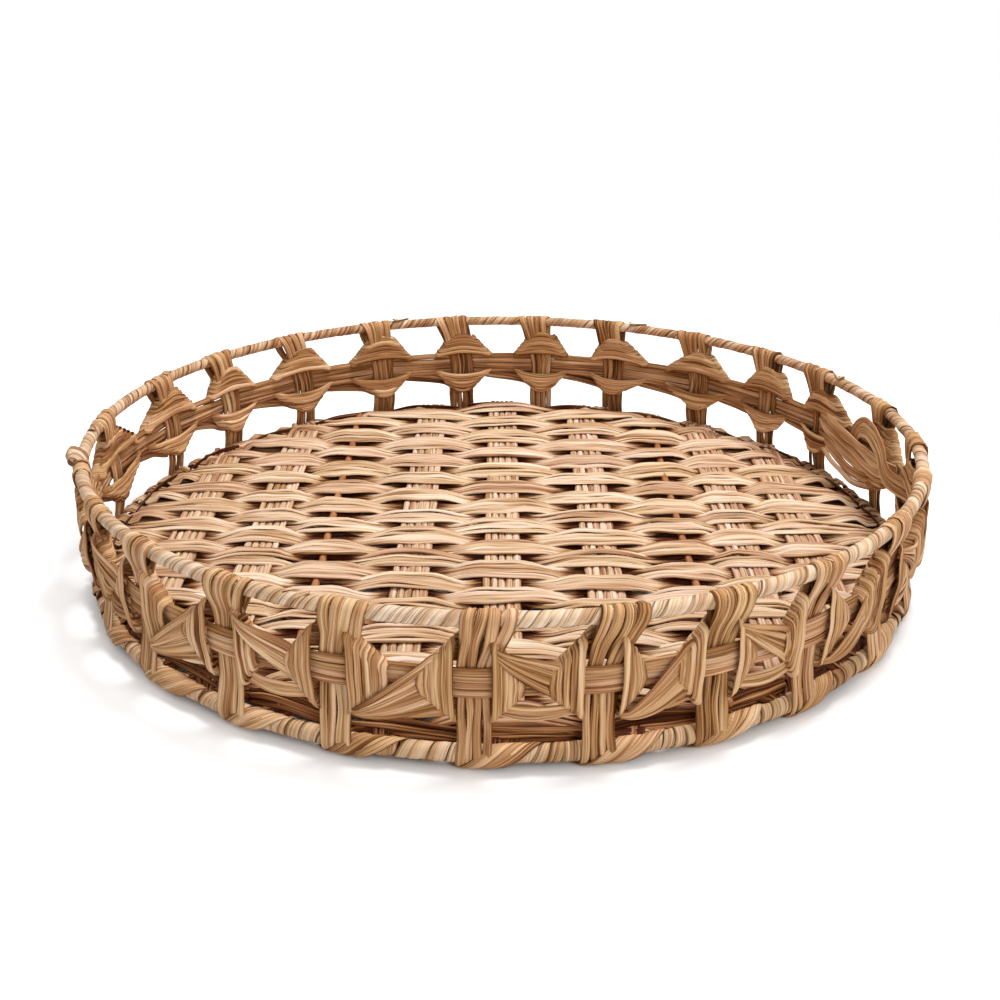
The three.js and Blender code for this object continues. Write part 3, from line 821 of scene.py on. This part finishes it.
def stick_piece(place, rng):
    """A thin peeled rod, a little bent, with small joints."""
    sides = 12
    edge = math.sqrt((BASE_RADIUS - 3.0) ** 2 - place**2)
    y = np.linspace(-edge, edge, 90)
    sway = wander(rng, y, 0.5, 170)
    height = np.full_like(y, FLOOR_MIDDLE) + wander(rng, y, 0.15, 90)
    line = np.stack([place + sway, y, height], axis=1)
    run = lengths(line)
    thick = STICK_RADIUS * (1 + 0.05 * np.sin(run / 9.0) ** 8)
    ahead = unit(np.gradient(line, axis=0))
    across = unit(np.cross(UP, ahead))
    out = np.cross(ahead, across)
    turn = np.arange(sides) * 2 * PI / sides
    rings = line[:, None, :] + thick[:, None, None] * (
        across[:, None, :] * np.cos(turn)[None, :, None]
        + out[:, None, :] * np.sin(turn)[None, :, None])
    u = np.repeat((np.sin(turn) * 2.0 + np.cos(turn) * 1.1)[None, :], len(line), axis=0)
    v = np.repeat(run[:, None], sides, axis=1)
    strips = Strips()
    strips.store(rings, np.stack([u, v, np.full_like(u, rng.uniform(0, 300))], axis=2),
                 np.zeros_like(rings))
    return strips


def linear(red, green, blue):
    """Linear values of a colour that is given as a screen shows it, 0 to 255."""
    values = []
    for value in (red, green, blue):
        c = value / 255
        values.append(c / 12.92 if c <= 0.04045 else ((c + 0.055) / 1.055) ** 2.4)
    return (*values, 1.0)


class Nodes:
    """A short way to build the node tree of a material or a world."""

    def __init__(self, owner):
        owner.use_nodes = True
        self.tree = owner.node_tree
        self.tree.nodes.clear()

    def add(self, kind, inputs=None, **settings):
        node = self.tree.nodes.new(kind)
        for name, value in settings.items():
            setattr(node, name, value)
        for name, value in (inputs or {}).items():
            node.inputs[name].default_value = value
        return node

    def link(self, source, target):
        self.tree.links.new(source, target)

    def attribute(self, name):
        return self.add("ShaderNodeAttribute", attribute_name=name).outputs["Vector"]

    def math(self, operation, first, second=None, third=None):
        node = self.add("ShaderNodeMath", operation=operation)
        for socket, value in zip(node.inputs, (first, second, third)):
            if value is None:
                continue
            if isinstance(value, (int, float)):
                socket.default_value = value
            else:
                self.link(value, socket)
        return node.outputs[0]

    def swing(self, value, size, base):
        """Base, and size times what the value departs from its middle, 0.5."""
        return self.math("MULTIPLY_ADD", self.math("SUBTRACT", value, 0.5), size, base)

    def noise(self, vector, scale, detail=2.0, rough=0.55):
        stretch = self.add("ShaderNodeVectorMath", operation="MULTIPLY")
        self.link(vector, stretch.inputs[0])
        stretch.inputs[1].default_value = scale
        node = self.add("ShaderNodeTexNoise", {"Scale": 1.0, "Detail": detail, "Roughness": rough})
        self.link(stretch.outputs[0], node.inputs["Vector"])
        return node.outputs["Fac"]

    def ramp(self, value, places, colours):
        node = self.add("ShaderNodeValToRGB")
        self.link(value, node.inputs[0])
        elements = node.color_ramp.elements
        while len(elements) < len(places):
            elements.new(0.5)
        for element, place, colour in zip(elements, places, colours):
            element.position = place
            element.color = linear(*colour)
        return node.outputs["Color"]

    def bump(self, height, strength, distance):
        node = self.add("ShaderNodeBump", {"Strength": strength, "Distance": distance})
        self.link(height, node.inputs["Height"])
        return node.outputs[0]

    def step(self, value, low, high, top=1.0):
        """0 up to low, and top from high on, with a smooth change between them."""
        node = self.add("ShaderNodeMapRange", {"From Min": low, "From Max": high, "To Max": top},
                        interpolation_type="SMOOTHSTEP")
        self.link(value, node.inputs["Value"])
        return node.outputs[0]

    def background_rays(self):
        """1 for the rays that show a background, also by way of a mirror or through glass."""
        path = self.add("ShaderNodeLightPath")
        seen = self.math("MAXIMUM", path.outputs["Is Camera Ray"], path.outputs["Is Glossy Ray"])
        return self.math("MAXIMUM", seen, path.outputs["Is Transmission Ray"])

    def output(self, source, kind="ShaderNodeOutputMaterial"):
        self.link(source, self.add(kind).inputs[0])


# Each from painted shade in a crease, through the leaf's own colours, to a painted highlight on
# a ridge, at these places of the level
LEAF_PLACES = (0.04, 0.27, 0.50, 0.70, 0.94)
GOLDEN = [(74, 30, 6), (158, 108, 64), (208, 169, 126), (234, 203, 166), (251, 231, 205)]
ROSY = [(76, 28, 8), (156, 102, 68), (205, 161, 129), (231, 196, 168), (250, 226, 205)]
TAN = [(68, 28, 4), (146, 96, 50), (200, 152, 102), (232, 191, 142), (250, 222, 184)]
RUST = [(68, 25, 5), (142, 87, 50), (194, 141, 99), (226, 180, 140), (245, 209, 174)]


def leaf_material(name, lift=0.0, streak=1.0, first=TAN, second=RUST, edge=0.14):
    """Dry leaf: lengthwise fibres, streaks, blotches and creases along each strip. The colour
    follows the bump, as a painted highlight on the ridges and painted shade in the creases.
    """
    material = bpy.data.materials.new(name)
    n = Nodes(material)
    fibre = n.attribute("fibre")
    tone = n.add("ShaderNodeSeparateXYZ")
    n.link(n.attribute("tone"), tone.inputs[0])
    light, warm, shaded = tone.outputs
    fine = n.noise(fibre, (1.9, 0.022, 7.77), 2.0, 0.6)
    broad = n.noise(fibre, (0.62, 0.012, 3.13), 1.0)
    blotch = n.noise(fibre, (0.10, 0.022, 1.71), 1.5)
    line = n.noise(fibre, (0.5, 0.008, 5.5), 1.0)
    # Creases: thin lines along the strip, lower in the bump and painted darker as shade
    crease = n.math("MULTIPLY", n.math("ABSOLUTE", n.math("SUBTRACT", line, 0.5)), 16.0)
    crease = n.math("SUBTRACT", 1.0, n.math("MINIMUM", crease, 1.0))
    # Fibre streaks, partly the leaf's own and partly painted highlight and shade, as the colour
    # rises and falls with the bump
    level = n.swing(fine, 0.8 * streak, 0.57 + lift)
    level = n.swing(broad, 0.6 * streak, level)
    level = n.swing(blotch, 0.7, level)
    # The tone's brightness: random per strip, and painted shade in places
    level = n.math("MULTIPLY_ADD", light, 0.15, level)
    # Painted shade at the strips' edges and underside
    level = n.math("MULTIPLY_ADD", shaded, -edge, level)
    level = n.math("MULTIPLY_ADD", crease, -0.11 * streak, level)
    hue = n.swing(blotch, 1.2, n.math("MULTIPLY_ADD", warm, 0.5, 0.45))
    mix = n.add("ShaderNodeMix", data_type="RGBA", clamp_factor=True)
    n.link(hue, mix.inputs[0])
    n.link(n.ramp(level, LEAF_PLACES, first), mix.inputs[6])
    n.link(n.ramp(level, LEAF_PLACES, second), mix.inputs[7])
    height = n.math("MULTIPLY_ADD", broad, 1.1, n.math("MULTIPLY", fine, 0.4))
    height = n.math("MULTIPLY_ADD", crease, -0.3, height)
    shader = n.add("ShaderNodeBsdfPrincipled",
                   {"Specular IOR Level": 0.16, "Specular Tint": (1.0, 0.8, 0.6, 1.0)})
    n.link(mix.outputs[2], shader.inputs["Base Color"])
    n.link(n.bump(height, 0.8, 0.0009), shader.inputs["Normal"])
    n.link(n.math("MULTIPLY_ADD", broad, 0.3, 0.45), shader.inputs["Roughness"])
    n.output(shader.outputs[0])
    return material


def wood_material(name, dark, light, use_fibre):
    """Peeled rod: fine grain along a stick, or grain without a direction on a CAD hoop."""
    material = bpy.data.materials.new(name)
    n = Nodes(material)
    if use_fibre:
        place = n.attribute("fibre")
        grain_scale, mottle_scale = (1.6, 0.05, 3.3), (0.3, 0.12, 1.1)
    else:
        place = n.add("ShaderNodeTexCoord").outputs["Object"]
        grain_scale, mottle_scale = (900, 900, 900), (120, 120, 120)
    grain = n.noise(place, grain_scale, 3.0, 0.6)
    mottle = n.noise(place, mottle_scale)
    shader = n.add("ShaderNodeBsdfPrincipled")
    colour = n.ramp(n.swing(mottle, 0.8, grain), (0.25, 0.75), (dark, light))
    n.link(colour, shader.inputs["Base Color"])
    n.link(n.bump(grain, 0.4, 0.0003), shader.inputs["Normal"])
    n.link(n.math("MULTIPLY_ADD", mottle, 0.25, 0.45), shader.inputs["Roughness"])
    n.output(shader.outputs[0])
    return material


weft_leaf = leaf_material("weft_leaf", lift=0.04, streak=1.25, first=GOLDEN, second=ROSY)
warp_leaf = leaf_material("warp_leaf", lift=0.02, first=GOLDEN, second=ROSY)
post_leaf = leaf_material("post_leaf", streak=1.25)
lace_leaf = leaf_material("lace_leaf", streak=1.25)
band_leaf = leaf_material("band_leaf", streak=1.25)
rim_leaf = leaf_material("rim_leaf", lift=0.08, streak=1.3, first=GOLDEN, second=ROSY, edge=0.09)
base_leaf = leaf_material("base_leaf", streak=1.2, first=GOLDEN, edge=0.1)
rod_wood = wood_material("rod_wood", (110, 72, 38), (160, 112, 66), False)
stick_wood = wood_material("stick_wood", (138, 74, 30), (196, 128, 70), True)

for hoop in ("rim_hoop", "base_hoop"):
    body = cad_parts[hoop]
    if not body.material_slots:
        body.data.materials.append(rod_wood)
    for slot in body.material_slots:
        slot.material = rod_wood

show("rim_wrap_strips", rim_wrap_strips(random_for("rim")), rim_leaf, "rim_wrap")
show("base_wrap_strips", base_wrap_strips(random_for("base")), base_leaf, "base_wrap")
show("band_strips", band_strips(random_for("band")), band_leaf, "mid_band")
for index in range(POSTS):
    label = "%02d" % (index + 1)
    strips = post_strips(index, random_for("post", index))
    show("post_strips_" + label, strips, post_leaf, "post_" + label)
for pair in range(POSTS // 2):
    label = "%02d" % (pair + 1)
    strips = lacing_strips(pair, random_for("lacing", pair))
    show("lacing_strips_" + label, strips, lace_leaf, "lacing_" + label)
for index, place in enumerate(WARPS):
    label = str(index + 1)
    strips = warp_strips(place, random_for("warp", index))
    show("warp_strips_" + label, strips, warp_leaf, "floor_warp_" + label)
for index, place in enumerate(STICKS):
    label = str(index + 1)
    strips = stick_piece(place, random_for("stick", index))
    show("stick_" + label, strips, stick_wood, "floor_stick_" + label)
for index in range(WEFT_NODES):
    label = "%02d" % (index + 1)
    rng = random_for("weft", index)
    # The rows get painted shade near the wall
    strips = Strips(painted_wall_shade=True)
    for row in range(index * ROWS // WEFT_NODES, (index + 1) * ROWS // WEFT_NODES):
        weft_row(strips, row, rng)
    strips.tuck()
    show("weft_strips_" + label, strips, weft_leaf, "floor_weft_" + label)

# From here on, lengths are in metres, and the lens and its sensor in millimetres
STAGE_HALF = 12.0
STAGE_GREY = 0.82
# Distances from the basket's axis between which the floor is lifted, and by how much, and those
# between which it fades to white
LIFT_FROM, LIFT_TO, LIFT = 0.190, 0.215, 0.5
FADE_FROM, FADE_TO = 0.26, 0.62
WORLD_LIGHT = 0.48
LENS = 52.66
SENSOR = 36
CAMERA_PLACE = (-0.0007, -0.6763, 0.3133)
PITCH = math.radians(22.73)
YAW = math.radians(-0.025)
ROLL = math.radians(0.239)


def add_stage():
    """A pale floor. To rays that show a background it is brighter outside the basket, and it fades
    to white further away, where no shadow falls."""
    mesh = bpy.data.meshes.new("stage_floor")
    corners = [(-STAGE_HALF, -STAGE_HALF, 0), (STAGE_HALF, -STAGE_HALF, 0),
               (STAGE_HALF, STAGE_HALF, 0), (-STAGE_HALF, STAGE_HALF, 0)]
    mesh.from_pydata(corners, [], [(0, 1, 2, 3)])
    stage = bpy.data.objects.new("stage_floor", mesh)
    bpy.context.scene.collection.objects.link(stage)
    paper = bpy.data.materials.new("stage_paper")
    n = Nodes(paper)
    away = n.add("ShaderNodeVectorMath", operation="LENGTH")
    n.link(n.add("ShaderNodeTexCoord").outputs["Object"], away.inputs[0])
    seen = n.background_rays()
    outside = n.step(away.outputs["Value"], LIFT_FROM, LIFT_TO, LIFT)
    fade = n.step(away.outputs["Value"], FADE_FROM, FADE_TO)
    diffuse = n.add("ShaderNodeBsdfDiffuse", {"Color": (STAGE_GREY, STAGE_GREY, STAGE_GREY, 1)})
    lift = n.add("ShaderNodeEmission")
    n.link(n.math("MULTIPLY", seen, outside), lift.inputs["Strength"])
    near = n.add("ShaderNodeAddShader")
    n.link(diffuse.outputs[0], near.inputs[0])
    n.link(lift.outputs[0], near.inputs[1])
    white = n.add("ShaderNodeEmission", {"Strength": 1.0})
    mixed = n.add("ShaderNodeMixShader")
    n.link(n.math("MULTIPLY", fade, seen), mixed.inputs[0])
    n.link(near.outputs[0], mixed.inputs[1])
    n.link(white.outputs[0], mixed.inputs[2])
    n.output(mixed.outputs[0])
    mesh.materials.append(paper)


def add_world():
    """Soft light from all round, which shows as white."""
    world = bpy.data.worlds.new("studio")
    bpy.context.scene.world = world
    n = Nodes(world)
    strength = n.add("ShaderNodeMapRange", {"To Min": WORLD_LIGHT, "To Max": 1.0})
    n.link(n.background_rays(), strength.inputs["Value"])
    sky = n.add("ShaderNodeBackground", {"Color": (1, 1, 1, 1)})
    n.link(strength.outputs[0], sky.inputs["Strength"])
    n.output(sky.outputs[0], "ShaderNodeOutputWorld")


def add_light(name, place, target, size, power):
    light = bpy.data.lights.new(name, "AREA")
    light.shape = "DISK"
    light.size = size
    light.energy = power
    lamp = bpy.data.objects.new(name, light)
    bpy.context.scene.collection.objects.link(lamp)
    lamp.location = place
    lamp.rotation_euler = (Vector(target) - Vector(place)).to_track_quat("-Z", "Y").to_euler()


def add_camera():
    """A camera where the photo's one was, as the hoops' outlines give it."""
    forward = Vector((math.sin(YAW) * math.cos(PITCH), math.cos(YAW) * math.cos(PITCH),
                      -math.sin(PITCH)))
    right = forward.cross(Vector((0, 0, 1))).normalized()
    up = right.cross(forward)
    rolled_right = right * math.cos(ROLL) + up * math.sin(ROLL)
    rolled_up = up * math.cos(ROLL) - right * math.sin(ROLL)
    camera_data = bpy.data.cameras.new("camera")
    camera_data.lens = LENS
    camera_data.sensor_width = SENSOR
    camera_data.clip_start = 0.01
    camera = bpy.data.objects.new("camera", camera_data)
    bpy.context.scene.collection.objects.link(camera)
    turned = Matrix((rolled_right, rolled_up, -forward)).transposed().to_4x4()
    camera.matrix_world = Matrix.Translation(CAMERA_PLACE) @ turned
    bpy.context.scene.camera = camera


add_stage()
add_world()
add_light("key", (0.3, 0.2, 1.2), (0, 0, 0), 0.6, 12.0)
add_light("fill", (0.5, -1.2, 0.8), (0, 0, 0.03), 0.8, 5.5)
add_camera()

bpy.context.scene.view_settings.view_transform = "Standard"
